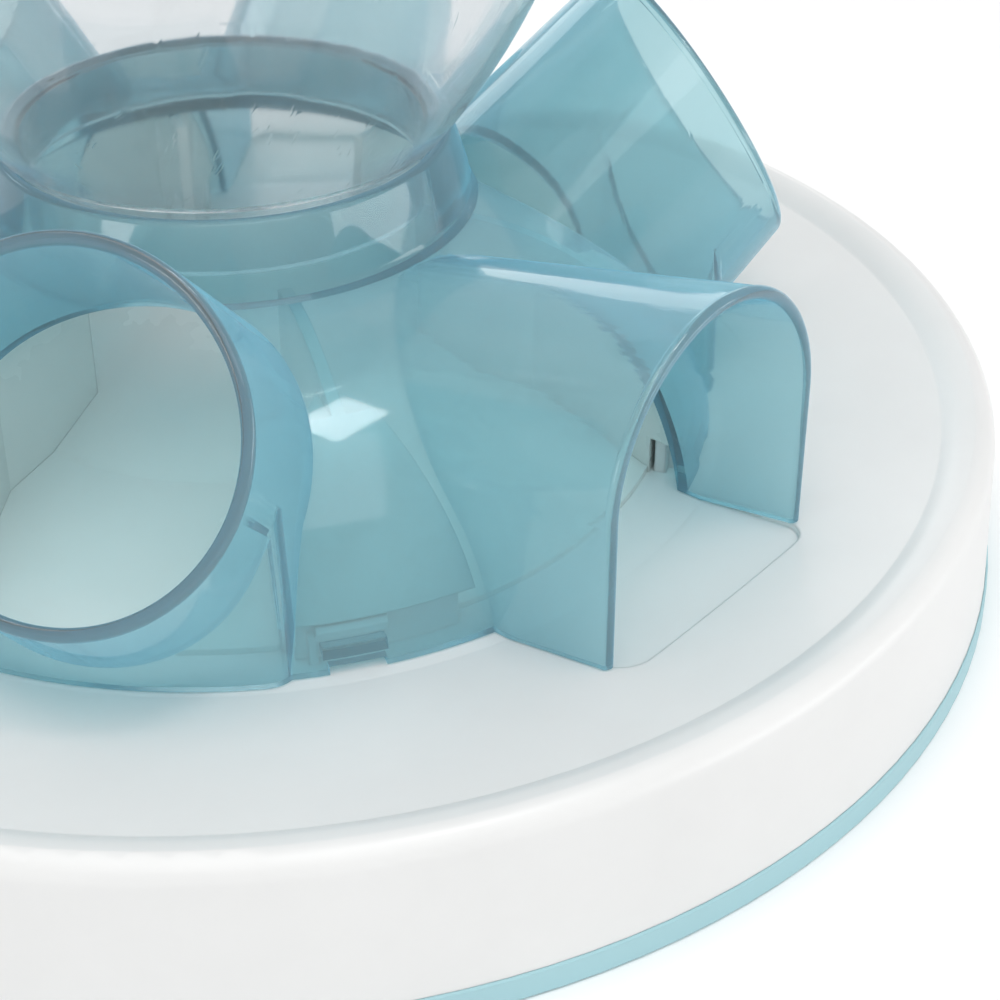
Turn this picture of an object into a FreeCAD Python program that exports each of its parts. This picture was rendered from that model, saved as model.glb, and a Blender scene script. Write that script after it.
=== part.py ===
import FreeCAD, Part
import math
import os
from types import SimpleNamespace

import Sketcher

# Cat tunnel feeder. Millimetres, Z up, origin at the centre of the underside.
# Three arched and three round tunnels take turns round the dome, 60 degrees apart.
# The front of the object is the arched tunnel that points along -Y.

os.makedirs("parts", exist_ok=True)
doc = FreeCAD.newDocument("cat_tunnel_feeder")
Vector = FreeCAD.Vector

# Driving dimensions

DIMENSIONS = {
    # Tray
    "rim_radius": 150.0,
    "rim_height": 35.5,
    "rim_crown": 4.0,
    "rim_width": 10.2,
    "rim_drop": 2.7,
    "rim_inner_round": 8.5,
    "wall_flare": 1.4,
    "tray_wall": 2.4,
    "tray_foot": 1.8,
    "floor_height": 26.0,
    "floor_margin": 2.7,
    "rib_width": 1.8,
    "rib_depth": 3.0,
    "gusset_foot": 9.0,
    "gusset_reach": 20.0,
    "hub_rib_radius": 16.0,
    "ring_rib_radius": 62.0,
    "tray_ribs": 12,
    # Shallow recess in the tray in front of each arched tunnel
    "recess_lead": 3.5,
    "recess_inset": 1.5,
    "recess_corner": 6.0,
    "recess_fall": 5.7,
    "recess_edge": 0.05,
    # Grip ring
    "grip_overhang": 0.6,
    "grip_height": 5.3,
    "grip_draft": 0.1,
    "grip_edge": 0.4,
    "grip_lip_width": 3.0,
    "grip_fit": 0.05,
    # Twist lock between dome and tray
    "lock_wall_width": 2.2,
    "lock_wall_height": 7.0,
    "lock_wall_span": 19.0,
    "hook_reach": 2.0,
    "hook_height": 2.4,
    "hook_chamfer": 0.8,
    "hook_span": 8.0,
    "hook_clearance": 0.5,
    "stop_span": 1.0,
    "stop_gap": 0.3,
    "tab_span": 7.0,
    "tab_height": 2.2,
    "tab_root": 0.55,
    "tab_clearance": 0.4,
    "tab_lag": 3.3,
    "slot_width": 10.0,
    "slot_height": 1.5,
    "slot_reach": 6.6,
    # Dome
    "plastic_wall": 2.2,
    "dome_arc_radius": 55.0,
    "dome_arc_centre": 41.0,
    "dome_arc_height": 17.5,
    "dome_top_width": 4.0,
    "seat_clearance": 0.3,
    # Neck
    "neck_bore": 41.0,
    "neck_rim_width": 2.6,
    "neck_taper_width": 2.8,
    "neck_flare_width": 1.8,
    "neck_flare_rise": 4.5,
    "neck_flare_round": 5.5,
    "neck_rise": 10.0,
    "neck_top_round": 1.2,
    "neck_seat_width": 1.0,
    # Arched tunnels
    "arch_half_width": 29.5,
    "arch_mouth_reach": 115.0,
    "arch_mouth_centre": 58.0,
    "arch_rise": 13.0,
    "tunnel_root": 44.0,
    # Round tunnels
    "round_mouth_radius": 31.0,
    "round_mouth_reach": 98.0,
    "round_mouth_height": 77.0,
    "round_tilt": 43.0,
    "round_mouth_tilt": 28.5,
    "round_taper": 4.0,
    "round_inner_length": 62.0,
    "round_outer_length": 12.0,
    "skirt_setback": 1.0,
    "skirt_spread": 2.4,
    "skirt_tuck": 0.3,
    # Spreader and dividers
    "spreader_wall": 2.2,
    "spreader_tip_radius": 5.0,
    "spreader_tip_rise": 2.0,
    "spreader_knee_radius": 50.0,
    "spreader_steep": 32.0,
    "spreader_gentle": 16.0,
    "spreader_edge_gap": 1.2,
    "spreader_edge_width": 1.2,
    "channel_inset": 0.2,
    "divider_rise": 43.3,
    "divider_clearance": 0.7,
    "divider_foot_gap": 0.8,
    "fin_width": 2.4,
    "fin_inner_radius": 38.0,
    "boss_circle": 30.0,
    "boss_radius": 4.0,
    # Screws
    "screw_radius": 1.45,
    "screw_fit": 0.05,
    "screw_length": 13.0,
    "screw_head_radius": 3.4,
    "screw_head_height": 2.2,
    "screw_hole_clearance": 0.35,
    # Hopper
    "hopper_wall": 2.0,
    "spout_depth": 11.5,
    "spout_clearance": 0.5,
    "bowl_seat_width": 2.5,
    "bowl_radius": 74.0,
    "bowl_round": 144.0,
    "hopper_side": 61.0,
    "hopper_flare": 1.5,
    "hopper_bead": 1.2,
    "hopper_bead_height": 3.0,
    # Lid
    "lid_wall": 2.2,
    "lid_gap": 0.4,
    "lid_skirt_depth": 9.0,
    "lid_corner": 3.0,
    "lid_shoulder": 5.0,
    "lid_rise": 24.0,
    "lid_dome_round": 180.0,
    "plug_depth": 7.0,
    "plug_width": 1.8,
    "knob_waist": 13.0,
    "knob_flare": 4.0,
    "knob_rise": 18.0,
    "knob_edge": 2.5,
    "knob_band": 2.5,
    "knob_dish": 1.0,
    "knob_waist_round": 12.0,
}

TUNNEL_PAIRS = 3
ARCH_AZIMUTHS = [270, 30, 150]
ROUND_AZIMUTHS = [210, 330, 90]
GAP_AZIMUTHS = [240, 300, 360, 60, 120, 180]
SCREW_AZIMUTHS = [15, 135, 255]

# How far cutters run past what they cut
OVERRUN = 1.0
FAR = 200.0


class Size:
    """A number together with the sheet formula that gives it."""

    def __init__(self, value, formula):
        self.value = value
        self.formula = formula

    def __add__(self, other):
        return Size(self.value + size(other).value, f"({self.formula} + {size(other).formula})")

    def __sub__(self, other):
        return Size(self.value - size(other).value, f"({self.formula} - {size(other).formula})")

    def __mul__(self, other):
        return Size(self.value * size(other).value, f"({self.formula} * {size(other).formula})")

    def __truediv__(self, other):
        return Size(self.value / size(other).value, f"({self.formula} / {size(other).formula})")

    def __radd__(self, other):
        return size(other) + self

    def __rsub__(self, other):
        return size(other) - self

    def __rmul__(self, other):
        return size(other) * self

    def __neg__(self):
        return Size(-self.value, f"(0 - {self.formula})")


def size(number):
    """A plain number as a Size; a Size as it is."""
    if isinstance(number, Size):
        return number
    return Size(float(number), repr(float(number)))


def sine(angle):
    return Size(math.sin(math.radians(size(angle).value)), f"sin({size(angle).formula})")


def cosine(angle):
    return Size(math.cos(math.radians(size(angle).value)), f"cos({size(angle).formula})")


def tangent(angle):
    return Size(math.tan(math.radians(size(angle).value)), f"tan({size(angle).formula})")


def root(number):
    return Size(math.sqrt(number.value), f"sqrt({number.formula})")


def fill_sheet():
    """Put the driving dimensions in the sheet and return them as named sizes."""
    sheet = doc.addObject("Spreadsheet::Sheet", "Sizes")
    named = {}
    for row, (alias, value) in enumerate(DIMENSIONS.items(), start=1):
        sheet.set(f"A{row}", alias)
        sheet.set(f"B{row}", str(value))
        sheet.setAlias(f"B{row}", alias)
        named[alias] = Size(float(value), f"Sizes.{alias}")
    doc.recompute()
    return SimpleNamespace(**named)


s = fill_sheet()


# Drawing helpers

def bind(thing, **formulas):
    """Tie properties to sizes. Two underscores in a name stand for a dot."""
    for name, value in formulas.items():
        thing.setExpression(name.replace("__", "."), size(value).formula)


def pin_point(sketch, geometry, point, x, y):
    """Hold one end of a sketch line at x, y from the sketch origin."""
    if size(x).value == 0:
        sketch.addConstraint(Sketcher.Constraint("PointOnObject", geometry, point, -2))
    else:
        index = sketch.addConstraint(
            Sketcher.Constraint("DistanceX", -1, 1, geometry, point, size(x).value))
        sketch.setExpression(f"Constraints[{index}]", size(x).formula)
    if size(y).value == 0:
        sketch.addConstraint(Sketcher.Constraint("PointOnObject", geometry, point, -1))
    else:
        index = sketch.addConstraint(
            Sketcher.Constraint("DistanceY", -1, 1, geometry, point, size(y).value))
        sketch.setExpression(f"Constraints[{index}]", size(y).formula)


def outline(sketch, corners):
    """Draw a closed outline of corners (x, y) or (x, y, radius).

    With a radius the side that leaves the corner is an arc. It swells to the right of its
    direction of travel when the radius is positive, and to the left when it is negative.
    """
    count = len(corners)
    ends = []
    for number, corner in enumerate(corners):
        after = corners[(number + 1) % count]
        start = Vector(size(corner[0]).value, size(corner[1]).value, 0)
        end = Vector(size(after[0]).value, size(after[1]).value, 0)
        if len(corner) == 2:
            geometry = sketch.addGeometry(Part.LineSegment(start, end), False)
            ends.append((geometry, 1, 2))
            continue
        radius = size(corner[2])
        chord = end - start
        half = chord.Length / 2
        sag = abs(radius.value) - math.sqrt(radius.value ** 2 - half ** 2)
        side = 1 if radius.value > 0 else -1
        middle = (start + end) / 2 + Vector(chord.y, -chord.x, 0) / chord.Length * sag * side
        geometry = sketch.addGeometry(Part.Arc(start, middle, end), False)
        ends.append((geometry, 1, 2) if side > 0 else (geometry, 2, 1))
        index = sketch.addConstraint(Sketcher.Constraint("Radius", geometry, abs(radius.value)))
        formula = radius.formula if side > 0 else (-radius).formula
        sketch.setExpression(f"Constraints[{index}]", formula)
    for number, corner in enumerate(corners):
        geometry, first, last = ends[number]
        before = ends[number - 1]
        sketch.addConstraint(Sketcher.Constraint("Coincident", before[0], before[2], geometry, first))
        pin_point(sketch, geometry, first, corner[0], corner[1])


def origin_feature(body, role):
    return [feature for feature in body.Origin.OriginFeatures if feature.Role == role][0]


def new_body(label):
    body = doc.addObject("PartDesign::Body", label)
    body.Label = label
    return body


def body_sketch(body, name, plane, corners, turn=0.0):
    """A sketch on a plane of the body's own origin, turned clockwise about the Z axis."""
    sketch = body.newObject("Sketcher::SketchObject", name)
    sketch.AttachmentSupport = (origin_feature(body, plane), [""])
    sketch.MapMode = "FlatFace"
    sketch.AttachmentOffset = FreeCAD.Placement(Vector(), FreeCAD.Rotation(Vector(0, -1, 0), turn))
    outline(sketch, corners)
    return sketch


def revolve(body, name, corners, angle=None, turn=None):
    """Turn an upright outline about Z: all the way, or by an angle centred on a direction."""
    if turn is None:
        sketch = body_sketch(body, name + "_outline", "XZ_Plane", corners)
    else:
        sketch = body_sketch(body, name + "_outline", "XZ_Plane", corners, turn.value)
        bind(sketch, AttachmentOffset__Rotation__Angle=turn)
    feature = body.newObject("PartDesign::Revolution", name)
    feature.Profile = sketch
    feature.ReferenceAxis = (sketch, ["V_Axis"])
    if angle is not None:
        feature.Midplane = True
        bind(feature, Angle=angle)
    return feature


def repeat(body, name, features, count):
    """Copy features evenly about the Z axis."""
    doc.recompute()
    pattern = body.newObject("PartDesign::PolarPattern", name)
    pattern.Originals = features
    pattern.Axis = (origin_feature(body, "Z_Axis"), [""])
    pattern.Angle = 360
    bind(pattern, Occurrences=count)
    body.Tip = pattern
    doc.recompute()
    return pattern


def free_sketch(name, corners, stance):
    """A sketch that stands alone: flat, upright across the X axis, or upright along it."""
    sketch = doc.addObject("Sketcher::SketchObject", name)
    if stance == "across":
        sketch.Placement = FreeCAD.Placement(Vector(), FreeCAD.Rotation(Vector(1, 1, 1), 120))
    elif stance == "along":
        sketch.Placement = FreeCAD.Placement(Vector(), FreeCAD.Rotation(Vector(1, 0, 0), 90))
    outline(sketch, corners)
    return sketch


def turned_solid(name, corners, azimuth=0.0, angle=360.0):
    """A solid of revolution about Z, centred on an azimuth when it is only part of a turn."""
    sketch = free_sketch(name + "_outline", corners, "along")
    solid = doc.addObject("Part::Revolution", name)
    solid.Source = sketch
    solid.Axis = Vector(0, 0, 1)
    solid.Solid = True
    solid.Symmetric = True
    bind(solid, Angle=angle)
    if size(azimuth).value != 0:
        solid.Placement.Rotation = FreeCAD.Rotation(Vector(0, 0, 1), size(azimuth).value)
        bind(solid, Placement__Rotation__Angle=azimuth)
    return solid


def place(thing, azimuth):
    """Turn a finished object about the Z axis."""
    thing.Placement = FreeCAD.Placement(Vector(), FreeCAD.Rotation(Vector(0, 0, 1), azimuth))
    return thing


def cut(name, base, tool, azimuth=0):
    result = doc.addObject("Part::Cut", name)
    result.Base = base
    result.Tool = tool
    return place(result, azimuth)


def fuse(name, things, azimuth=0):
    """Join solids; a single one is only wrapped, so that it can be turned."""
    if len(things) == 1:
        result = doc.addObject("Part::Compound", name)
        result.Links = things
    else:
        result = doc.addObject("Part::MultiFuse", name)
        result.Shapes = things
    return place(result, azimuth)


def common(name, first, second):
    result = doc.addObject("Part::Common", name)
    result.Base = first
    result.Tool = second
    return result


# Shared heights and curves

def arc_radius_at(height, arc_radius):
    """Distance from the Z axis to a dome arc of the given radius at a height."""
    rise = height - s.dome_arc_height
    return s.dome_arc_centre + root(arc_radius * arc_radius - rise * rise)


def arc_height_at(radius, arc_radius):
    """Height of a dome arc of the given radius at a distance from the Z axis."""
    run = radius - s.dome_arc_centre
    return s.dome_arc_height + root(arc_radius * arc_radius - run * run)


def floor_at(radius):
    """Height of the sloping tray floor outside its flat middle."""
    slope = (rim_inner_height - s.floor_height) / (rim_inner_radius - floor_radius)
    return s.floor_height + (radius - floor_radius) * slope


inner_arc = s.dome_arc_radius - s.plastic_wall
dome_base = s.floor_height + s.seat_clearance
dome_foot_radius = arc_radius_at(dome_base, s.dome_arc_radius)

rim_inner_radius = s.rim_radius - s.rim_width
rim_inner_height = s.rim_height - s.rim_drop
floor_radius = dome_foot_radius + s.floor_margin
wall_foot_radius = s.rim_radius + s.wall_flare

lock_top = s.floor_height + s.lock_wall_height
lock_wall_radius = arc_radius_at(lock_top, inner_arc) - s.hook_clearance - s.hook_reach
hook_foot = lock_top - s.hook_height
tab_top = hook_foot - s.tab_clearance

channel_half_width = s.arch_half_width - s.channel_inset
divider_height = s.dome_arc_height + s.divider_rise
divider_foot_radius = lock_wall_radius - s.lock_wall_width - s.divider_foot_gap
spreader_edge_radius = lock_wall_radius - s.lock_wall_width - s.spreader_edge_gap

dome_top_radius = s.neck_bore + s.dome_top_width
neck_top_radius = s.neck_bore + s.neck_rim_width
neck_flare_radius = neck_top_radius + s.neck_taper_width
neck_foot_radius = neck_flare_radius + s.neck_flare_width
neck_foot_height = arc_height_at(neck_foot_radius, s.dome_arc_radius)
neck_flare_height = neck_foot_height + s.neck_flare_rise
neck_top_height = neck_flare_height + s.neck_rise

skirt_radius = s.round_mouth_reach - s.skirt_setback
skirt_half_width = s.round_mouth_radius + s.skirt_spread


# Tray and what is fixed to it

def make_tray():
    """White tray: dished floor, rounded rim, ribbed underside, lock hooks and shallow recesses."""
    body = new_body("tray_body")
    under = s.floor_height - s.tray_wall
    foot_top = s.grip_height + s.seat_clearance
    crown_foot = s.rim_height - s.rim_crown
    revolve(body, "tray_shell", [
        (0, under),
        (floor_radius, under),
        (rim_inner_radius, rim_inner_height - s.tray_wall),
        (s.rim_radius - s.rim_crown, s.rim_height - s.tray_wall),
        (s.rim_radius - s.tray_wall, crown_foot),
        (wall_foot_radius - s.tray_wall, foot_top),
        (wall_foot_radius - s.tray_wall, s.tray_foot),
        (wall_foot_radius, s.tray_foot),
        (wall_foot_radius, foot_top),
        (s.rim_radius, crown_foot, s.rim_crown),
        (s.rim_radius - s.rim_crown, s.rim_height, s.rim_inner_round),
        (rim_inner_radius, rim_inner_height),
        (floor_radius, s.floor_height),
        (0, s.floor_height),
    ])
    add_ribs(body, under)
    add_hooks(body, under)
    add_screw_holes(body)
    tray = cut("base_tray", body, make_recesses())
    tray.Label = "base_tray"
    return tray


def add_ribs(body, under):
    """Low ribs under the floor that end in gussets against the outer wall."""
    half_width = s.rib_width / 2
    half_wall = s.tray_wall / 2
    rib_foot = under - s.rib_depth
    for name, radius in (("hub_rib", s.hub_rib_radius), ("ring_rib", s.ring_rib_radius)):
        revolve(body, name, [
            (radius - half_width, rib_foot),
            (radius + half_width, rib_foot),
            (radius + half_width, under + half_wall),
            (radius - half_width, under + half_wall),
        ])
    gusset_start = wall_foot_radius - s.gusset_reach
    sketch = body_sketch(body, "spoke_rib_outline", "XZ_Plane", [
        (s.hub_rib_radius, rib_foot),
        (floor_radius, rib_foot),
        (gusset_start, floor_at(gusset_start) - s.tray_wall - s.rib_depth),
        (wall_foot_radius - half_wall, s.gusset_foot),
        (s.rim_radius - half_wall, s.rim_height - s.rim_crown),
        (s.rim_radius - s.rim_crown, s.rim_height - half_wall),
        (rim_inner_radius, rim_inner_height - half_wall),
        (floor_radius, under + half_wall),
        (s.hub_rib_radius, under + half_wall),
    ])
    rib = body.newObject("PartDesign::Pad", "spoke_rib")
    rib.Profile = sketch
    rib.Midplane = True
    bind(rib, Length=s.rib_width)
    repeat(body, "spoke_ribs", [rib], s.tray_ribs)


def add_hooks(body, under):
    """Six short walls on the tray floor, each with a hook and a stop for the dome's tab."""
    root = under + s.tray_wall / 2
    hook_root = lock_wall_radius - s.lock_wall_width / 2
    hook_end = lock_wall_radius + s.hook_reach
    wall = revolve(body, "lock_wall", [
        (lock_wall_radius - s.lock_wall_width, root),
        (lock_wall_radius, root),
        (lock_wall_radius, lock_top),
        (lock_wall_radius - s.lock_wall_width, lock_top),
    ], angle=s.lock_wall_span)
    hook = revolve(body, "lock_hook", [
        (hook_root, hook_foot),
        (hook_end, hook_foot),
        (hook_end, lock_top - s.hook_chamfer),
        (hook_end - s.hook_chamfer, lock_top),
        (hook_root, lock_top),
    ], angle=s.hook_span, turn=s.tab_lag)
    stop = revolve(body, "lock_stop", [
        (hook_root, root),
        (hook_end, root),
        (hook_end, hook_foot + s.hook_chamfer),
        (hook_root, hook_foot + s.hook_chamfer),
    ], angle=s.stop_span, turn=s.tab_lag + (s.tab_span + s.stop_span) / 2 + s.stop_gap)
    repeat(body, "lock_walls", [wall, hook, stop], size(2 * TUNNEL_PAIRS))


def add_screw_holes(body):
    """Clearance holes for the screws that hold the spreader."""
    sketch = body.newObject("Sketcher::SketchObject", "screw_hole_outline")
    sketch.AttachmentSupport = (origin_feature(body, "XY_Plane"), [""])
    sketch.MapMode = "FlatFace"
    hole_x = s.boss_circle * cosine(SCREW_AZIMUTHS[0])
    hole_y = s.boss_circle * sine(SCREW_AZIMUTHS[0])
    circle = sketch.addGeometry(Part.Circle(Vector(hole_x.value, hole_y.value, 0), Vector(0, 0, 1),
                                            s.screw_radius.value), False)
    pin_point(sketch, circle, 3, hole_x, hole_y)
    index = sketch.addConstraint(Sketcher.Constraint("Radius", circle, s.screw_radius.value))
    sketch.setExpression(f"Constraints[{index}]", (s.screw_radius + s.screw_hole_clearance).formula)
    hole = body.newObject("PartDesign::Pocket", "screw_hole")
    hole.Profile = sketch
    hole.Type = "ThroughAll"
    hole.Reversed = True
    before = body.Tip
    doc.recompute()
    repeat(body, "screw_holes", [hole], size(len(SCREW_AZIMUTHS)))
    if not body.Shape.Volume < before.Shape.Volume - 1:
        raise RuntimeError("the screw holes cut nothing")


def make_recesses():
    """What sinks the tray's slope a little in front of each arched tunnel, corners rounded."""
    near = dome_foot_radius
    end = s.arch_mouth_reach + s.recess_lead
    half_width = s.arch_half_width - s.recess_inset
    plan = free_sketch("recess_plan", [
        (near, -half_width),
        (end - s.recess_corner, -half_width, s.recess_corner),
        (end, s.recess_corner - half_width),
        (end, half_width - s.recess_corner, s.recess_corner),
        (end - s.recess_corner, half_width),
        (near, half_width),
    ], "flat")
    prism = doc.addObject("Part::Extrusion", "recess_prism")
    prism.Base = plan
    prism.DirMode = "Custom"
    prism.Dir = Vector(0, 0, 1)
    prism.Solid = True
    prism.LengthFwd = FAR
    foot = s.floor_height + s.recess_edge
    ring = turned_solid("recess_ring", [
        (floor_radius, foot),
        (s.rim_radius, foot + (s.rim_radius - floor_radius) * tangent(s.recess_fall)),
        (s.rim_radius, s.rim_height + OVERRUN),
        (floor_radius, s.rim_height + OVERRUN),
    ])
    recess = common("recess", prism, ring)
    return fuse("recesses", [fuse(f"recess_{number}", [recess], azimuth)
                             for number, azimuth in enumerate(ARCH_AZIMUTHS, start=1)])


def make_grip_ring():
    """Soft channel ring that holds the foot of the tray wall and stands on the ground."""
    body = new_body("grip_ring")
    outer = wall_foot_radius + s.grip_overhang
    groove_outer = wall_foot_radius + s.grip_fit
    groove_inner = wall_foot_radius - s.tray_wall - s.grip_fit
    edge = s.grip_edge
    revolve(body, "grip_section", [
        (groove_inner - s.grip_lip_width, edge),
        (groove_inner - s.grip_lip_width + edge, 0),
        (outer - edge, 0),
        (outer, edge),
        (outer - s.grip_draft, s.grip_height - edge),
        (outer - s.grip_draft - edge, s.grip_height),
        (groove_outer, s.grip_height),
        (groove_outer, s.tray_foot),
        (groove_inner, s.tray_foot),
        (groove_inner, s.grip_height),
        (groove_inner - s.grip_lip_width + edge, s.grip_height),
        (groove_inner - s.grip_lip_width, s.grip_height - edge),
    ])
    return body


def spreader_skin(top_only):
    """Corners of the spreader: the solid below its upper surface, or the hollow shell."""
    edge_top = s.floor_height + s.spreader_edge_width
    knee = edge_top + (spreader_edge_radius - s.spreader_knee_radius) * tangent(s.spreader_gentle)
    tip = knee + (s.spreader_knee_radius - s.spreader_tip_radius) * tangent(s.spreader_steep)
    upper = [
        (spreader_edge_radius, s.floor_height),
        (spreader_edge_radius, edge_top),
        (s.spreader_knee_radius, knee),
        (s.spreader_tip_radius, tip),
        (0, tip + s.spreader_tip_rise),
    ]
    if top_only:
        return upper + [(0, s.floor_height)]
    drop = s.spreader_wall / cosine(s.spreader_steep)
    inner_edge = spreader_edge_radius - (drop - s.spreader_edge_width) / tangent(s.spreader_gentle)
    return upper + [
        (0, tip + s.spreader_tip_rise - drop),
        (s.spreader_tip_radius, tip - drop),
        (s.spreader_knee_radius, knee - drop),
        (inner_edge, s.floor_height),
    ]


def make_spreader():
    """White cone under the bore of the neck, with three screw bosses underneath."""
    shell = turned_solid("spreader_shell", spreader_skin(top_only=False))
    inside = turned_solid("spreader_inside", spreader_skin(top_only=True))
    bosses = []
    bores = []
    for number, azimuth in enumerate(SCREW_AZIMUTHS, start=1):
        post = boss_cylinder(f"boss_{number}", azimuth, s.boss_radius, s.floor_height, size(FAR))
        bosses.append(post)
        bore = boss_cylinder(f"boss_bore_{number}", azimuth, s.screw_radius + s.screw_fit,
                             s.floor_height - OVERRUN, s.screw_length)
        bores.append(bore)
    posts = common("bosses", fuse("boss_posts", bosses), inside)
    body = fuse("spreader_body", [shell, posts])
    spreader = cut("food_spreader", body, fuse("boss_bores", bores))
    spreader.Label = "food_spreader"
    return spreader


def boss_cylinder(name, azimuth, radius, foot, height):
    """An upright cylinder on the screws' circle."""
    cylinder = doc.addObject("Part::Cylinder", name)
    bind(cylinder, Radius=radius, Height=height,
         Placement__Base__x=s.boss_circle * cosine(azimuth),
         Placement__Base__y=s.boss_circle * sine(azimuth),
         Placement__Base__z=foot)
    return cylinder


def make_screw(number, azimuth):
    """Pan-head screw that holds the spreader to the tray from below."""
    body = new_body(f"spreader_screw_{number}")
    seat = s.floor_height - s.tray_wall
    revolve(body, f"screw_section_{number}", [
        (0, seat - s.screw_head_height),
        (s.screw_head_radius - s.screw_head_height / 2, seat - s.screw_head_height,
         s.screw_head_height),
        (s.screw_head_radius, seat - s.screw_head_height / 2),
        (s.screw_head_radius, seat),
        (s.screw_radius, seat),
        (s.screw_radius, seat + s.screw_length - s.screw_radius),
        (0, seat + s.screw_length),
    ])
    body.Placement.Base = Vector(s.boss_circle.value * math.cos(math.radians(azimuth)),
                                 s.boss_circle.value * math.sin(math.radians(azimuth)), 0)
    bind(body, Placement__Base__x=s.boss_circle * cosine(azimuth),
         Placement__Base__y=s.boss_circle * sine(azimuth))
    return body


def wedge_plan(half_width):
    """Plan of a divider: the channels on either side leave a point that opens at 60 degrees."""
    opening = size(180 / (2 * TUNNEL_PAIRS))
    point = half_width / sine(opening)
    side = size(FAR)
    return [
        (point, 0),
        (point + side * cosine(opening), -(side * sine(opening))),
        (point + side * cosine(opening), side * sine(opening)),
    ]


def wedge_section(shrink, foot):
    """Upright section of a divider under the dome, drawn in by shrink."""
    arc = inner_arc - s.divider_clearance - shrink
    ledge = lock_top + s.divider_clearance + shrink
    return [
        (s.fin_inner_radius, foot),
        (divider_foot_radius - shrink, foot),
        (divider_foot_radius - shrink, ledge),
        (arc_radius_at(ledge, arc), ledge, arc),
        (arc_radius_at(divider_height - shrink, arc), divider_height - shrink),
        (s.fin_inner_radius, divider_height - shrink),
    ]


def make_divider_shape():
    """Wedge and fin between two channels, hollow from below, before they are copied."""
    solids = []
    for name, half_width, shrink, foot in (
            ("divider_outer", channel_half_width, size(0), s.floor_height),
            ("divider_void", channel_half_width + s.spreader_wall, s.spreader_wall,
             s.floor_height - OVERRUN)):
        plan = free_sketch(name + "_plan", wedge_plan(half_width), "flat")
        prism = doc.addObject("Part::Extrusion", name + "_prism")
        prism.Base = plan
        prism.DirMode = "Custom"
        prism.Dir = Vector(0, 0, 1)
        prism.Solid = True
        prism.LengthFwd = FAR
        ring = turned_solid(name + "_ring", wedge_section(shrink, foot), angle=2 * 180 / TUNNEL_PAIRS)
        solids.append(common(name, prism, ring))
    arc = inner_arc - s.divider_clearance
    fin_top = arc_height_at(dome_top_radius, arc)
    fin_end = divider_foot_radius - s.spreader_wall / 2
    fin_ring = turned_solid("fin_ring", [
        (s.fin_inner_radius, s.floor_height),
        (fin_end, s.floor_height),
        (fin_end, arc_height_at(fin_end, arc), arc),
        (dome_top_radius, fin_top),
        (s.fin_inner_radius, fin_top),
    ], angle=180 / TUNNEL_PAIRS)
    plate = doc.addObject("Part::Box", "fin_plate")
    bind(plate, Length=FAR, Width=s.fin_width, Height=FAR, Placement__Base__y=-s.fin_width / 2)
    wedge = cut("divider_wedge", solids[0], solids[1])
    return fuse("divider_shape", [wedge, common("fin", plate, fin_ring)])


def make_dividers():
    """Six white dividers between the tunnels, standing on the tray and the spreader."""
    shape = make_divider_shape()
    below = turned_solid("spreader_below", spreader_skin(top_only=True))
    dividers = []
    for number, azimuth in enumerate(GAP_AZIMUTHS, start=1):
        divider = cut(f"divider_{number}", shape, below, azimuth)
        divider.Label = f"divider_{number}"
        dividers.append(divider)
    return dividers


# Dome, neck and tunnels

def neck_outside():
    """Corners of the neck's outer side, from its foot on the dome up to the top rim."""
    return [
        (neck_foot_radius, neck_foot_height, -s.neck_flare_round),
        (neck_flare_radius, neck_flare_height),
        (neck_top_radius, neck_top_height - s.neck_top_round, s.neck_top_round),
        (neck_top_radius - s.neck_top_round, neck_top_height),
    ]


def make_tunnel_trim():
    """What the tunnels are trimmed by: the dome and neck's space, and all below the floor."""
    low = s.floor_height - s.tray_wall
    core = turned_solid("dome_core", [
        (0, low),
        (dome_foot_radius, low),
        (dome_foot_radius, dome_base, s.dome_arc_radius),
        *neck_outside(),
        (0, neck_top_height),
    ])
    far = size(FAR)
    ground = turned_solid("floor_cutter", [
        (0, -far),
        (far, -far),
        (far, floor_at(far) + s.seat_clearance),
        (floor_radius, dome_base),
        (0, dome_base),
    ])
    return fuse("tunnel_trim", [core, ground])


def arch_prism(name, half_width, reach):
    """Arched bar along X that rises outwards, as wide as twice half_width."""
    climb = (s.arch_mouth_reach - s.tunnel_root) * tangent(s.arch_rise)
    centre = s.arch_mouth_centre - climb
    low = size(-FAR)
    sketch = free_sketch(name + "_outline", [
        (-half_width, low),
        (half_width, low),
        (half_width, centre, half_width),
        (0, centre + half_width, half_width),
        (-half_width, centre),
    ], "across")
    bind(sketch, Placement__Base__x=s.tunnel_root)
    prism = doc.addObject("Part::Extrusion", name)
    prism.Base = sketch
    prism.DirMode = "Custom"
    prism.Solid = True
    bind(prism, Dir__x=cosine(s.arch_rise), Dir__y=0, Dir__z=sine(s.arch_rise),
         LengthFwd=(reach - s.tunnel_root) / cosine(s.arch_rise))
    return prism


def skirt_block(name, wall):
    """Ruled block under a round tunnel, from just inside its sides down to the ground."""
    low = size(0)
    sections = []
    for end, along in (("near", s.tunnel_root), ("far", skirt_radius + OVERRUN)):
        back = (s.round_mouth_reach - along) / cosine(s.round_tilt)
        top_half = s.round_mouth_radius + back * tangent(s.round_taper) - wall - s.skirt_tuck
        top = s.round_mouth_height - (s.round_mouth_reach - along) * tangent(s.round_tilt)
        low_half = top_half if end == "near" else skirt_half_width - wall
        sketch = free_sketch(f"{name}_{end}", [
            (-low_half, low),
            (low_half, low),
            (top_half, top),
            (-top_half, top),
        ], "across")
        bind(sketch, Placement__Base__x=along)
        sections.append(sketch)
    block = doc.addObject("Part::Loft", name)
    block.Sections = sections
    block.Solid = True
    block.Ruled = True
    return block


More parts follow.
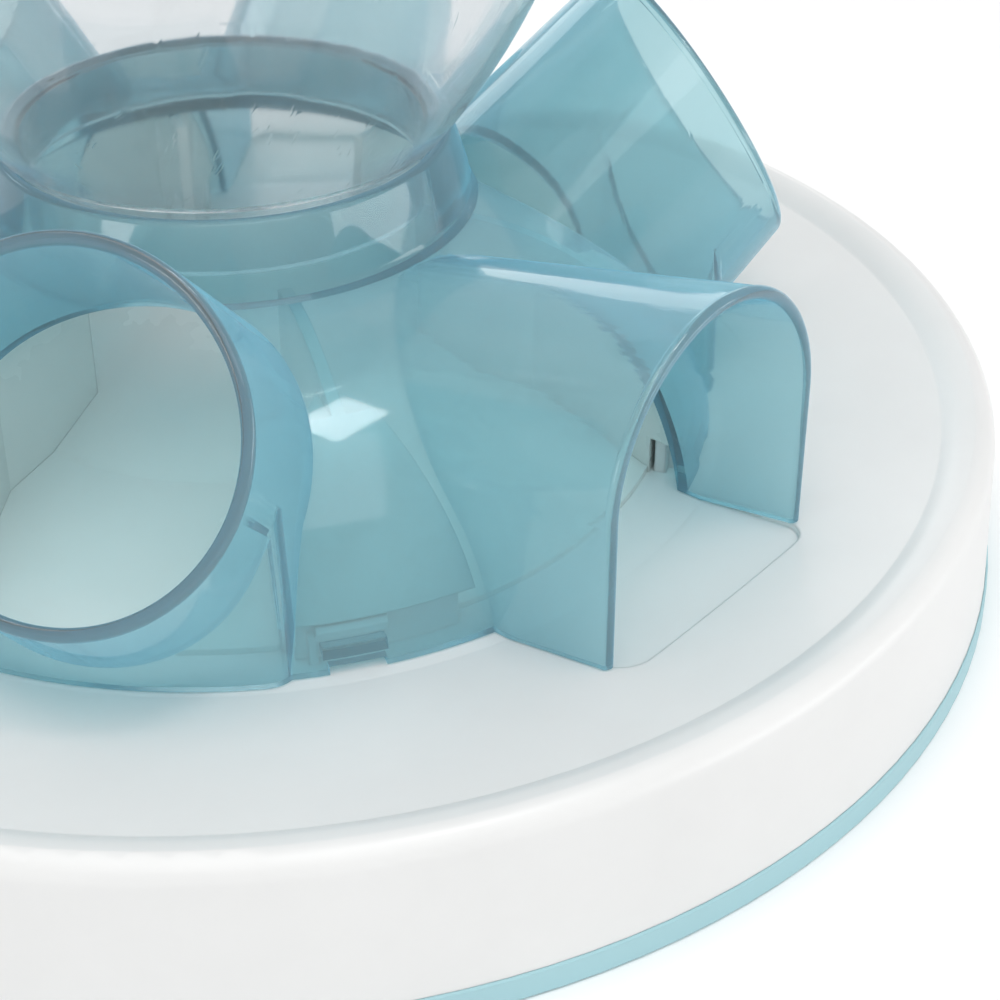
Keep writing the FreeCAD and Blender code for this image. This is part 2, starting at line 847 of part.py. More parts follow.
def round_tube(name, wall, extra):
    """Tapered round bar along a round tunnel's axis."""
    back = s.round_inner_length + extra
    front = s.round_outer_length + extra
    widen = tangent(s.round_taper)
    tube = doc.addObject("Part::Cone", name)
    tube.Placement.Rotation = FreeCAD.Rotation(Vector(0, 1, 0), 90 - s.round_tilt.value)
    bind(tube, Radius1=s.round_mouth_radius - wall + back * widen,
         Radius2=s.round_mouth_radius - wall - front * widen,
         Height=back + front,
         Placement__Base__x=s.round_mouth_reach - back * cosine(s.round_tilt),
         Placement__Base__z=s.round_mouth_height - back * sine(s.round_tilt),
         Placement__Rotation__Angle=90 - s.round_tilt)
    return tube


def mouth_block():
    """Everything in front of a round tunnel's mouth plane."""
    half = FAR / 2
    block = doc.addObject("Part::Box", "mouth_block")
    block.Placement.Rotation = FreeCAD.Rotation(Vector(0, -1, 0), s.round_mouth_tilt.value)
    block.Length = half
    block.Width = FAR
    block.Height = FAR
    bind(block,
         Placement__Base__x=s.round_mouth_reach + half * sine(s.round_mouth_tilt),
         Placement__Base__y=-half,
         Placement__Base__z=s.round_mouth_height - half * cosine(s.round_mouth_tilt),
         Placement__Rotation__Angle=s.round_mouth_tilt)
    return block


def skirt_reach(name, radius):
    """Upright cylinder that ends the skirt in front."""
    cylinder = doc.addObject("Part::Cylinder", name)
    bind(cylinder, Radius=radius, Height=FAR)
    return cylinder


def make_round_parts():
    """One round tunnel along X as a solid bar, its hollow, and what opens the dome behind it."""
    bar = round_tube("round_bar", size(0), size(0))
    barrel = cut("round_barrel", bar, mouth_block())
    skirt = common("round_skirt", skirt_block("round_skirt_block", size(0)),
                   skirt_reach("skirt_front", skirt_radius))
    bore = round_tube("round_bore", s.plastic_wall, size(OVERRUN))
    hollow_block = skirt_block("round_hollow_block", s.plastic_wall)
    hollow_skirt = common("round_hollow_skirt", hollow_block,
                          skirt_reach("skirt_back", skirt_radius - s.plastic_wall))
    outside = fuse("round_outside", [barrel, skirt])
    hollow = fuse("round_hollow", [bore, hollow_skirt])
    return outside, hollow, [bore, hollow_block]


def make_arch_parts():
    """One arched tunnel along X as a solid bar, its hollow, and what opens the dome behind it."""
    outside = arch_prism("arch_outside", s.arch_half_width, s.arch_mouth_reach)
    hollow = arch_prism("arch_hollow", s.arch_half_width - s.plastic_wall,
                        s.arch_mouth_reach + OVERRUN)
    return outside, hollow, [hollow]


def make_tunnels():
    """Three arched and three round tunnels, and what opens the dome behind each."""
    trim = make_tunnel_trim()
    tunnels = []
    windows = []
    for kind, azimuths, (outside, hollow, opened) in (
            ("arch", ARCH_AZIMUTHS, make_arch_parts()),
            ("round", ROUND_AZIMUTHS, make_round_parts())):
        seated = cut(f"{kind}_seated", outside, trim)
        for number, azimuth in enumerate(azimuths, start=1):
            tunnel = cut(f"{kind}_tunnel_{number}", seated, hollow, azimuth)
            tunnel.Label = f"{kind}_tunnel_{number}"
            tunnels.append(tunnel)
            windows.append(fuse(f"{kind}_window_{number}", opened, azimuth))
    return tunnels, windows


def make_lock_features():
    """Slots in the dome's lower edge, and the tabs that turn under the tray's hooks."""
    slots = []
    tabs = []
    start = lock_wall_radius + s.hook_reach
    half_width = s.slot_width / 2
    tab_foot = tab_top - s.tab_height
    for number, azimuth in enumerate(GAP_AZIMUTHS, start=1):
        turn = azimuth - s.tab_lag
        slot = doc.addObject("Part::Box", f"base_slot_{number}")
        slot.Placement.Rotation = FreeCAD.Rotation(Vector(0, 0, 1), turn.value)
        bind(slot, Length=s.slot_reach, Width=s.slot_width, Height=s.slot_height + OVERRUN,
             Placement__Base__x=start * cosine(turn) + half_width * sine(turn),
             Placement__Base__y=start * sine(turn) - half_width * cosine(turn),
             Placement__Base__z=dome_base - OVERRUN,
             Placement__Rotation__Angle=turn)
        slots.append(slot)
        tabs.append(turned_solid(f"lock_tab_{number}", [
            (lock_wall_radius + s.tab_clearance, tab_foot),
            (arc_radius_at(tab_foot, inner_arc) + s.tab_root, tab_foot),
            (arc_radius_at(tab_top, inner_arc) + s.tab_root, tab_top),
            (lock_wall_radius + s.tab_clearance, tab_top),
        ], azimuth=turn, angle=s.tab_span))
    return slots, tabs


def make_dome_shell(windows):
    """Petrol dome between the tunnels, with the lock's tabs and slots."""
    skin = turned_solid("dome_skin", [
        (arc_radius_at(dome_base, inner_arc), dome_base),
        (dome_foot_radius, dome_base, s.dome_arc_radius),
        (dome_top_radius, arc_height_at(dome_top_radius, s.dome_arc_radius)),
        (dome_top_radius, arc_height_at(dome_top_radius, inner_arc), -inner_arc),
    ])
    slots, tabs = make_lock_features()
    pierced = cut("pierced_dome", skin, fuse("dome_openings", windows + slots))
    dome = fuse("dome_shell", [pierced] + tabs)
    dome.Label = "dome_shell"
    return dome


def make_neck():
    """Tapered petrol neck with a flared foot, whose rim carries the hopper."""
    body = new_body("dome_neck")
    bore_foot = dome_top_radius - s.plastic_wall
    join = arc_height_at(dome_top_radius, inner_arc)
    revolve(body, "neck_section", [
        (bore_foot, join),
        (dome_top_radius, join),
        (dome_top_radius, arc_height_at(dome_top_radius, s.dome_arc_radius),
         -s.dome_arc_radius),
        *neck_outside(),
        (s.neck_bore + s.neck_seat_width, neck_top_height),
        (s.neck_bore, neck_top_height - s.neck_seat_width),
    ])
    return body


# Hopper and lid

seat_rise = s.seat_clearance / sine(45)
spout_radius = s.neck_bore - s.spout_clearance
bowl_start = s.neck_bore + s.bowl_seat_width
bowl_sine = 1 - (s.bowl_radius - bowl_start) / s.bowl_round
bowl_cosine = root(1 - bowl_sine * bowl_sine)
bowl_foot = neck_top_height - s.neck_seat_width + s.bowl_seat_width + seat_rise
bowl_top = bowl_foot + s.bowl_round * bowl_cosine
hopper_top_radius = s.bowl_radius + s.hopper_flare
hopper_top = bowl_top + s.hopper_side
lid_seat = hopper_top + s.seat_clearance
lid_crown = hopper_top + s.lid_rise
knob_top = lid_crown + s.knob_rise


def make_hopper():
    """Clear bowl-shaped hopper with a spout that drops into the neck."""
    body = new_body("hopper")
    inner_round = s.bowl_round - s.hopper_wall
    spout_top = bowl_foot - (bowl_start - spout_radius)
    spout_inside = spout_radius - s.hopper_wall
    inside_foot = bowl_top - inner_round * bowl_cosine
    inside_start = s.bowl_radius - s.bowl_round + inner_round * bowl_sine
    bead_foot = hopper_top - s.hopper_bead_height
    revolve(body, "hopper_section", [
        (spout_inside, neck_top_height - s.spout_depth),
        (spout_radius, neck_top_height - s.spout_depth),
        (spout_radius, spout_top),
        (bowl_start, bowl_foot, s.bowl_round),
        (s.bowl_radius, bowl_top),
        (hopper_top_radius, bead_foot),
        (hopper_top_radius + s.hopper_bead, bead_foot),
        (hopper_top_radius + s.hopper_bead, hopper_top),
        (hopper_top_radius - s.hopper_wall, hopper_top),
        (s.bowl_radius - s.hopper_wall, bowl_top, -inner_round),
        (inside_start, inside_foot),
        (spout_inside, inside_foot - (inside_start - spout_inside)),
    ])
    return body


def make_lid():
    """Domed lid that drops over the hopper's rim, with a hollow knob and a plug ring."""
    body = new_body("hopper_lid")
    plug_outer = hopper_top_radius - s.hopper_wall - s.lid_gap
    plug_inner = plug_outer - s.plug_width
    skirt_inner = hopper_top_radius + s.hopper_bead + s.lid_gap
    skirt_outer = skirt_inner + s.lid_wall
    shoulder = lid_seat + s.lid_shoulder
    knob_inside = s.knob_waist - s.lid_wall
    knob_ceiling = knob_top - s.knob_dish - s.lid_wall
    knob_radius = s.knob_waist + s.knob_flare
    revolve(body, "lid_section", [
        (0, knob_ceiling),
        (knob_inside, knob_ceiling),
        (knob_inside, lid_crown - s.lid_wall, s.lid_wall - s.lid_dome_round),
        (plug_inner, shoulder - s.lid_wall),
        (plug_inner, lid_seat - s.plug_depth),
        (plug_outer, lid_seat - s.plug_depth),
        (plug_outer, lid_seat),
        (skirt_inner, lid_seat),
        (skirt_inner, lid_seat - s.lid_skirt_depth),
        (skirt_outer, lid_seat - s.lid_skirt_depth),
        (skirt_outer, shoulder - s.lid_corner, s.lid_corner),
        (skirt_outer - s.lid_corner, shoulder, s.lid_dome_round),
        (s.knob_waist, lid_crown, -s.knob_waist_round),
        (knob_radius, knob_top - s.knob_edge - s.knob_band),
        (knob_radius, knob_top - s.knob_edge, s.knob_edge),
        (knob_radius - s.knob_edge, knob_top),
        (0, knob_top - s.knob_dish),
    ])
    return body


# Build, check and write

def check(part):
    """Stop on a piece that isn't one valid solid."""
    if part.Shape.isNull() or not part.Shape.isValid():
        raise RuntimeError(f"{part.Label} has no valid shape")
    if len(part.Shape.Solids) != 1:
        raise RuntimeError(f"{part.Label} has {len(part.Shape.Solids)} solids")


tunnels, windows = make_tunnels()
parts = [make_tray(), make_grip_ring(), make_spreader()]
parts += [make_screw(number, azimuth) for number, azimuth in enumerate(SCREW_AZIMUTHS, start=1)]
parts += make_dividers()
parts += [make_dome_shell(windows), make_neck()]
parts += tunnels
parts += [make_hopper(), make_lid()]
doc.recompute()

for thing in doc.Objects:
    if "Invalid" in thing.State or "Error" in thing.State:
        raise RuntimeError(f"{thing.Name} failed: {thing.State}")
for part in parts:
    check(part)
for part in parts:
    part.Shape.exportStep(f"parts/{part.Label}.step")
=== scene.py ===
import math

import bmesh
import bpy
from mathutils import Matrix, Vector


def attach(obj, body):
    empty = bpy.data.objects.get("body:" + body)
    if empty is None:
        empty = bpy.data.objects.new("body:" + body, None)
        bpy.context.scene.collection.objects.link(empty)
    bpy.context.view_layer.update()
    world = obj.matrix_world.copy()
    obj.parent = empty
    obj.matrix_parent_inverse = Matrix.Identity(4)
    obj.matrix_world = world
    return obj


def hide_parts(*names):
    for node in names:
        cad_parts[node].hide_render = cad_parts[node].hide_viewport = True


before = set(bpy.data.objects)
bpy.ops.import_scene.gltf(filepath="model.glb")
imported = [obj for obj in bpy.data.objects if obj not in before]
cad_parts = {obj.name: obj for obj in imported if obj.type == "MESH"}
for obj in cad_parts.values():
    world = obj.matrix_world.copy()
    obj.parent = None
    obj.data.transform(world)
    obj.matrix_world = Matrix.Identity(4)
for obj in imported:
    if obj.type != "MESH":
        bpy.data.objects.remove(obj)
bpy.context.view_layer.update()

# Sizes, in metres, and angles, in radians. They repeat those of the part's own source.
# Azimuths are in degrees, and so is the angle by which a lock tab lags behind its gap.

MM = 0.001
WALL = 2.2 * MM
FLOOR_HEIGHT = 26.0 * MM
FLOOR_MARGIN = 2.7 * MM
RIM_INNER_RADIUS = 139.8 * MM
RIM_INNER_HEIGHT = 32.8 * MM
SEAT_CLEARANCE = 0.3 * MM

DOME_ARC_RADIUS = 55.0 * MM
DOME_ARC_CENTRE = 41.0 * MM
DOME_ARC_HEIGHT = 17.5 * MM
DOME_BASE = FLOOR_HEIGHT + SEAT_CLEARANCE


def arc_radius_at(height, arc_radius=DOME_ARC_RADIUS):
    """Distance from the axis at which an arc of the dome reaches a height."""
    return DOME_ARC_CENTRE + math.sqrt(arc_radius ** 2 - (height - DOME_ARC_HEIGHT) ** 2)


def arc_height_at(distance):
    """Height of the dome's outer arc at a distance from the axis."""
    return DOME_ARC_HEIGHT + math.sqrt(DOME_ARC_RADIUS ** 2 - (distance - DOME_ARC_CENTRE) ** 2)


FLOOR_RADIUS = arc_radius_at(DOME_BASE) + FLOOR_MARGIN

NECK_BORE = 41.0 * MM
NECK_BORE_FLARE = 1.8 * MM
NECK_RIM_WIDTH = 2.6 * MM
NECK_TAPER_WIDTH = 2.8 * MM
NECK_FLARE_WIDTH = 1.8 * MM
NECK_FLARE_RISE = 4.5 * MM
NECK_RISE = 10.0 * MM
NECK_TOP_ROUND = 1.2 * MM
NECK_SEAT_WIDTH = 1.0 * MM
NECK_TOP_RADIUS = NECK_BORE + NECK_RIM_WIDTH
NECK_FLARE_RADIUS = NECK_TOP_RADIUS + NECK_TAPER_WIDTH
NECK_FOOT_RADIUS = NECK_FLARE_RADIUS + NECK_FLARE_WIDTH
NECK_FOOT_HEIGHT = arc_height_at(NECK_FOOT_RADIUS)
NECK_FLARE_HEIGHT = NECK_FOOT_HEIGHT + NECK_FLARE_RISE
NECK_TOP_HEIGHT = NECK_FLARE_HEIGHT + NECK_RISE

TUNNEL_ROOT = 44.0 * MM
ARCH_HALF_WIDTH = 29.5 * MM
ARCH_REACH = 115.0 * MM
ARCH_CENTRE = 58.0 * MM
ARCH_RISE = math.radians(13.0)

ROUND_RADIUS = 31.0 * MM
ROUND_REACH = 98.0 * MM
ROUND_HEIGHT = 77.0 * MM
ROUND_TILT = math.radians(43.0)
ROUND_MOUTH_TILT = math.radians(28.5)
ROUND_TAPER = math.radians(4.0)
ROUND_INNER_LENGTH = 62.0 * MM
ROUND_OUTER_LENGTH = 12.0 * MM
SKIRT_RADIUS = 97.0 * MM
SKIRT_HALF_WIDTH = 33.4 * MM

LOCK_WALL_RADIUS = 88.97 * MM
HOOK_REACH = 2.0 * MM
TAB_CLEARANCE = 0.4 * MM
TAB_FOOT = 28.0 * MM
TAB_TOP = 30.2 * MM
TAB_SPAN = math.radians(7.0)
TAB_LAG = 3.3
SLOT_WIDTH = 10.0 * MM
SLOT_HEIGHT = 1.5 * MM
SLOT_REACH = 3 * WALL

ARCH_AZIMUTHS = (-90, 30, 150)
ROUND_AZIMUTHS = (-150, -30, 90)
GAP_AZIMUTHS = (-120, -60, 0, 60, 120, 180)
LOCK_AZIMUTHS = [azimuth - TAB_LAG for azimuth in GAP_AZIMUTHS]

# Rounded edges of the moulding: mouth lips, skirt corners, the neck's rim, from an angle in
# degrees, and the creases between dome and neck, whose points are given by their distance
# and rise from the corners beside them

LIP_ROUND = 1.2 * MM
SKIRT_CORNER = 6.0 * MM
SKIRT_TUCK = 0.6 * MM
RIM_ROUND_START = 10
CREASE_FOOT_INSET = 0.8 * MM
CREASE_FOOT_RISE = 1.0 * MM
CREASE_TOP_WIDTH = 0.35 * MM
CREASE_TOP_RISE = 2.4 * MM
BORE_CREASE_INSET = 0.6 * MM
BORE_CREASE_RISE = 1.2 * MM

# Where helper shapes end, well clear of what they cut or are cut by

OVERRUN = 1.0 * MM
DOME_OUTSIDE_FOOT = 20 * MM
DOME_INSIDE_FOOT = 10 * MM
LEG_DEPTH = 60 * MM
MOUTH_CUTTER = 160 * MM
FLOOR_CUTTER_REACH = 180 * MM
FLOOR_CUTTER_DEPTH = 80 * MM

# Steps of the round shapes, and the tolerances of the mesh

TURN_STEPS = 192
TUBE_STEPS = 160
ARCH_STEPS = 128
ARC_STEPS = 48
RIM_STEPS = 6
LIP_STEPS = 20
LIP_BEND_STEPS = 64
CORNER_STEPS = 8
FRONT_STEPS = 16
TAB_STEPS = 6
MERGE_DISTANCE = 1e-6
CUT_DISTANCE = 1e-7
SHARP_ANGLE = math.radians(28)
FACE_AREA_WEIGHT = 80

UP = Vector((0, 0, 1))
OUTWARD = Vector((1, 0, 0))


# Mesh helpers

def arc(centre, radius, start, end, steps):
    """Points of an arc in an upright plane, by angles in degrees from the outward direction."""
    points = []
    for step in range(steps + 1):
        angle = math.radians(start + (end - start) * step / steps)
        points.append((centre[0] + radius * math.cos(angle),
                       centre[1] + radius * math.sin(angle)))
    return points


def move(bm, x, y, z, verts=None):
    """Move some vertices of a bmesh, or all of them."""
    bmesh.ops.translate(bm, verts=bm.verts if verts is None else verts, vec=(x, y, z))


def rotate(bm, angle, axis):
    """Rotate a whole bmesh about an axis through the origin."""
    bmesh.ops.rotate(bm, verts=bm.verts, cent=(0, 0, 0), matrix=Matrix.Rotation(angle, 3, axis))


def face_outwards(bm):
    bmesh.ops.recalc_face_normals(bm, faces=bm.faces)
    return bm


def new_verts(geometry):
    """The vertices among what an extrusion made."""
    return [item for item in geometry if isinstance(item, bmesh.types.BMVert)]


def turn_outline(outline):
    """Turn an outline of (radius, height) points about Z into a closed solid."""
    bm = bmesh.new()
    verts = [bm.verts.new((radius, 0, height)) for radius, height in outline]
    edges = [bm.edges.new(pair) for pair in zip(verts, verts[1:])]
    bmesh.ops.spin(bm, geom=verts + edges, cent=(0, 0, 0), axis=UP, angle=2 * math.pi,
                   steps=TURN_STEPS, use_merge=True)
    bmesh.ops.remove_doubles(bm, verts=bm.verts, dist=MERGE_DISTANCE)
    return face_outwards(bm)


def new_object(name, bm):
    mesh = bpy.data.meshes.new(name)
    bm.to_mesh(mesh)
    bm.free()
    piece = bpy.data.objects.new(name, mesh)
    bpy.context.scene.collection.objects.link(piece)
    return piece


def object_bmesh(piece):
    """Take an object's mesh back as a bmesh and remove the object."""
    bm = bmesh.new()
    bm.from_mesh(piece.data)
    bpy.data.objects.remove(piece)
    return bm


def turned_copy(bm, azimuth):
    """A copy of a bmesh turned about Z by an angle in degrees."""
    copy = bm.copy()
    rotate(copy, math.radians(azimuth), "Z")
    return copy


def turned_copies(operation, shapes, azimuths):
    """Copies of some shapes at each azimuth, as steps for combine."""
    return [(operation, turned_copy(bm, azimuth)) for azimuth in azimuths for bm in shapes]


def combine(name, base, steps):
    """Apply a chain of booleans to a bmesh: steps is a list of (operation, bmesh)."""
    piece = new_object(name, base)
    helpers = []
    for number, (operation, bm) in enumerate(steps):
        helper = new_object(f"{name}_tool_{number}", bm)
        helpers.append(helper)
        modifier = piece.modifiers.new(operation, "BOOLEAN")
        modifier.operation = operation
        modifier.solver = "MANIFOLD"
        modifier.object = helper
    evaluated = piece.evaluated_get(bpy.context.evaluated_depsgraph_get())
    result = bpy.data.meshes.new_from_object(evaluated)
    piece.modifiers.clear()
    piece.data = result
    for helper in helpers:
        bpy.data.objects.remove(helper)
    return piece


def smooth(piece):
    """Smooth shading that keeps the sharp edges, even where long thin faces meet large ones."""
    for polygon in piece.data.polygons:
        polygon.use_smooth = True
    piece.data.set_sharp_from_angle(angle=SHARP_ANGLE)
    even = piece.modifiers.new("even_shading", "WEIGHTED_NORMAL")
    even.keep_sharp = True
    even.weight = FACE_AREA_WEIGHT


# Dome with neck and tunnels, moulded in one piece. Tunnels are made along X and then turned.

def dome_arc(radius, low, reach):
    """Part of a dome's arc from a height up to a distance from the axis."""
    start = math.degrees(math.asin((low - DOME_ARC_HEIGHT) / radius))
    end = math.degrees(math.acos((reach - DOME_ARC_CENTRE) / radius))
    return arc((DOME_ARC_CENTRE, DOME_ARC_HEIGHT), radius, start, end, ARC_STEPS)


def dome_outside():
    """Outer outline: foot, arc, rounded crease at the neck, neck and its rounded rim."""
    foot = dome_arc(DOME_ARC_RADIUS, DOME_OUTSIDE_FOOT, NECK_FOOT_RADIUS)
    flare = [
        (NECK_FOOT_RADIUS - CREASE_FOOT_INSET, NECK_FOOT_HEIGHT + CREASE_FOOT_RISE),
        (NECK_FLARE_RADIUS + CREASE_TOP_WIDTH, NECK_FOOT_HEIGHT + CREASE_TOP_RISE),
        (NECK_FLARE_RADIUS, NECK_FLARE_HEIGHT),
    ]
    rim_centre = (NECK_TOP_RADIUS - NECK_TOP_ROUND, NECK_TOP_HEIGHT - NECK_TOP_ROUND)
    rim = arc(rim_centre, NECK_TOP_ROUND, RIM_ROUND_START, 90, RIM_STEPS)
    return [(0, DOME_OUTSIDE_FOOT)] + foot + flare + rim + [(0, NECK_TOP_HEIGHT)]


def dome_inside():
    """Outline of the space inside: one wall in from the dome's arc, then the neck's bore."""
    bore_foot = NECK_BORE + NECK_BORE_FLARE
    above = NECK_TOP_HEIGHT + 2 * NECK_SEAT_WIDTH
    inner_arc = dome_arc(DOME_ARC_RADIUS - WALL, DOME_INSIDE_FOOT, bore_foot)
    return ([(0, DOME_INSIDE_FOOT)] + inner_arc
            + [(bore_foot - BORE_CREASE_INSET, inner_arc[-1][1] + BORE_CREASE_RISE),
               (NECK_BORE, NECK_TOP_HEIGHT - NECK_SEAT_WIDTH),
               (NECK_BORE + 3 * NECK_SEAT_WIDTH, above),
               (0, above)])


def arch_bar(half_width, reach):
    """Arched bar that rises outwards, with legs that run far down."""
    centre = ARCH_CENTRE - (ARCH_REACH - TUNNEL_ROOT) * math.tan(ARCH_RISE)
    bm = bmesh.new()
    bmesh.ops.create_circle(bm, cap_ends=True, radius=half_width, segments=ARCH_STEPS)
    rotate(bm, math.pi / 2, "Y")
    move(bm, TUNNEL_ROOT, 0, centre)
    legs = [vert for vert in bm.verts if vert.co.z < centre - MERGE_DISTANCE]
    move(bm, 0, 0, -LEG_DEPTH, legs)
    side = bmesh.ops.extrude_face_region(bm, geom=bm.faces[:])
    length = reach - TUNNEL_ROOT
    move(bm, length, 0, length * math.tan(ARCH_RISE), new_verts(side["geom"]))
    return face_outwards(bm)


def arch_lip():
    """Bead along an arch's mouth, which rounds its edge: half a turn and two legs."""
    bm = bmesh.new()
    bmesh.ops.create_circle(bm, radius=LIP_ROUND, segments=LIP_STEPS)
    move(bm, 0, ARCH_HALF_WIDTH - WALL / 2, 0)
    bmesh.ops.spin(bm, geom=bm.verts[:] + bm.edges[:], cent=(0, 0, 0), axis=OUTWARD,
                   angle=math.pi, steps=LIP_BEND_STEPS)
    open_ends = [edge for edge in bm.edges if edge.is_boundary]
    legs = bmesh.ops.extrude_edge_only(bm, edges=open_ends)
    move(bm, 0, 0, -LEG_DEPTH, new_verts(legs["geom"]))
    bmesh.ops.holes_fill(bm, edges=[edge for edge in bm.edges if edge.is_boundary])
    move(bm, ARCH_REACH - LIP_ROUND, 0, ARCH_CENTRE - LIP_ROUND * math.tan(ARCH_RISE))
    return face_outwards(bm)


def set_on_round_axis(bm):
    """Move what was made round the Z axis onto a round tunnel's axis, at its mouth."""
    rotate(bm, math.pi / 2 - ROUND_TILT, "Y")
    move(bm, ROUND_REACH, 0, ROUND_HEIGHT)
    return bm


def round_bar(wall, extra):
    """Tapered bar along the axis of a round tunnel."""
    back = ROUND_INNER_LENGTH + extra
    front = ROUND_OUTER_LENGTH + extra
    bm = bmesh.new()
    bmesh.ops.create_cone(bm, cap_ends=True, segments=TUBE_STEPS,
                          radius1=ROUND_RADIUS - wall + back * math.tan(ROUND_TAPER),
                          radius2=ROUND_RADIUS - wall - front * math.tan(ROUND_TAPER),
                          depth=back + front)
    move(bm, 0, 0, (front - back) / 2)
    return set_on_round_axis(bm)


def round_lip():
    """Bead along a round tunnel's mouth, which rounds its edge."""
    lean = math.tan(ROUND_TILT - ROUND_MOUTH_TILT)
    middle = ROUND_RADIUS - WALL / 2
    bm = bmesh.new()
    bmesh.ops.create_circle(bm, radius=LIP_ROUND, segments=LIP_STEPS)
    rotate(bm, math.pi / 2, "X")
    move(bm, middle, 0, 0)
    bmesh.ops.spin(bm, geom=bm.verts[:] + bm.edges[:], cent=(0, 0, 0), axis=UP,
                   angle=2 * math.pi, steps=TUBE_STEPS, use_merge=True)
    bmesh.ops.remove_doubles(bm, verts=bm.verts, dist=MERGE_DISTANCE)
    move(bm, middle * lean * math.tan(ROUND_TAPER), 0, 0)
    shear = Matrix.Identity(4)
    shear[2][0] = -lean
    bmesh.ops.transform(bm, verts=bm.verts, matrix=shear)
    move(bm, 0, 0, -LIP_ROUND)
    return set_on_round_axis(face_outwards(bm))


def mouth_cutter():
    """Box in front of a round tunnel's mouth plane, less the depth of the lip."""
    bm = bmesh.new()
    bmesh.ops.create_cube(bm, size=MOUTH_CUTTER)
    move(bm, MOUTH_CUTTER / 2 - LIP_ROUND, 0, 0)
    rotate(bm, -ROUND_MOUTH_TILT, "Y")
    move(bm, ROUND_REACH, 0, ROUND_HEIGHT)
    return bm


def skirt_plan(wall, near_half, front_half):
    """Half of a skirt's plan at one height: straight side, soft corner, front round the axis."""
    radius = SKIRT_RADIUS - wall
    corner = SKIRT_CORNER - wall
    near = Vector((TUNNEL_ROOT, near_half))
    side = (Vector((SKIRT_RADIUS, front_half)) - near).normalized()
    inward = Vector((side.y, -side.x))
    start = near + inward * corner
    along = start.dot(side)
    reach = math.sqrt(along ** 2 - start.dot(start) + (radius - corner) ** 2) - along
    centre = start + side * reach
    turn = math.degrees(math.atan2(centre.y, centre.x))
    leave = math.degrees(math.atan2(-inward.y, -inward.x))
    return ([tuple(near)] + arc(centre, corner, leave, turn, CORNER_STEPS)
            + arc((0, 0), radius, turn, 0, FRONT_STEPS)[1:])


def skirt_bar(wall):
    """Block under a round tunnel, wide as the tube above it, soft-cornered in front."""
    back = (ROUND_REACH - TUNNEL_ROOT) / math.cos(ROUND_TILT)
    near_half = ROUND_RADIUS + back * math.tan(ROUND_TAPER) - wall - SKIRT_TUCK
    levels = ((0, SKIRT_HALF_WIDTH - wall), (ROUND_HEIGHT, ROUND_RADIUS - wall - SKIRT_TUCK))
    bm = bmesh.new()
    loops = []
    for height, front_half in levels:
        half = skirt_plan(wall, near_half, front_half)
        outline = half + [(along, -across) for along, across in half[-2::-1]]
        verts = [bm.verts.new((along, across, height)) for along, across in outline]
        loops.append([bm.edges.new((verts[i - 1], verts[i])) for i in range(len(verts))])
    bmesh.ops.bridge_loops(bm, edges=loops[0] + loops[1])
    bmesh.ops.contextual_create(bm, geom=loops[0])
    bmesh.ops.contextual_create(bm, geom=loops[1])
    face_outwards(bm)
    above = Vector((-math.sin(ROUND_TILT), 0, math.cos(ROUND_TILT)))
    cut = bmesh.ops.bisect_plane(bm, geom=bm.verts[:] + bm.edges[:] + bm.faces[:],
                                 dist=CUT_DISTANCE, plane_co=(ROUND_REACH, 0, ROUND_HEIGHT),
                                 plane_no=above, clear_outer=True)
    rim = [item for item in cut["geom_cut"] if isinstance(item, bmesh.types.BMEdge)]
    bmesh.ops.contextual_create(bm, geom=rim)
    return face_outwards(bm)


def floor_cutter():
    """Everything below the tray's floor and the seat clearance above it."""
    slope = (RIM_INNER_HEIGHT - FLOOR_HEIGHT) / (RIM_INNER_RADIUS - FLOOR_RADIUS)
    return turn_outline([
        (0, -FLOOR_CUTTER_DEPTH),
        (FLOOR_CUTTER_REACH, -FLOOR_CUTTER_DEPTH),
        (FLOOR_CUTTER_REACH, DOME_BASE + (FLOOR_CUTTER_REACH - FLOOR_RADIUS) * slope),
        (FLOOR_RADIUS, DOME_BASE),
        (0, DOME_BASE),
    ])


def base_slot():
    """Cutter for a slot in the dome's lower edge, in front of a lock tab."""
    bm = bmesh.new()
    bmesh.ops.create_cube(bm, size=1)
    bmesh.ops.scale(bm, verts=bm.verts, vec=(SLOT_REACH, SLOT_WIDTH, 2 * SLOT_HEIGHT))
    move(bm, LOCK_WALL_RADIUS + HOOK_REACH + SLOT_REACH / 2, 0, DOME_BASE)
    return bm


def lock_tab():
    """Tab inside the dome's wall that turns under a hook of the tray."""
    inner = LOCK_WALL_RADIUS + TAB_CLEARANCE
    outer = arc_radius_at(TAB_TOP, DOME_ARC_RADIUS - WALL / 2)
    corners = ((inner, TAB_FOOT), (outer, TAB_FOOT), (outer, TAB_TOP), (inner, TAB_TOP))
    bm = bmesh.new()
    bm.faces.new([bm.verts.new((radius, 0, height)) for radius, height in corners])
    rotate(bm, -TAB_SPAN / 2, "Z")
    bmesh.ops.spin(bm, geom=bm.verts[:] + bm.edges[:] + bm.faces[:], cent=(0, 0, 0), axis=UP,
                   angle=TAB_SPAN, steps=TAB_STEPS)
    return face_outwards(bm)


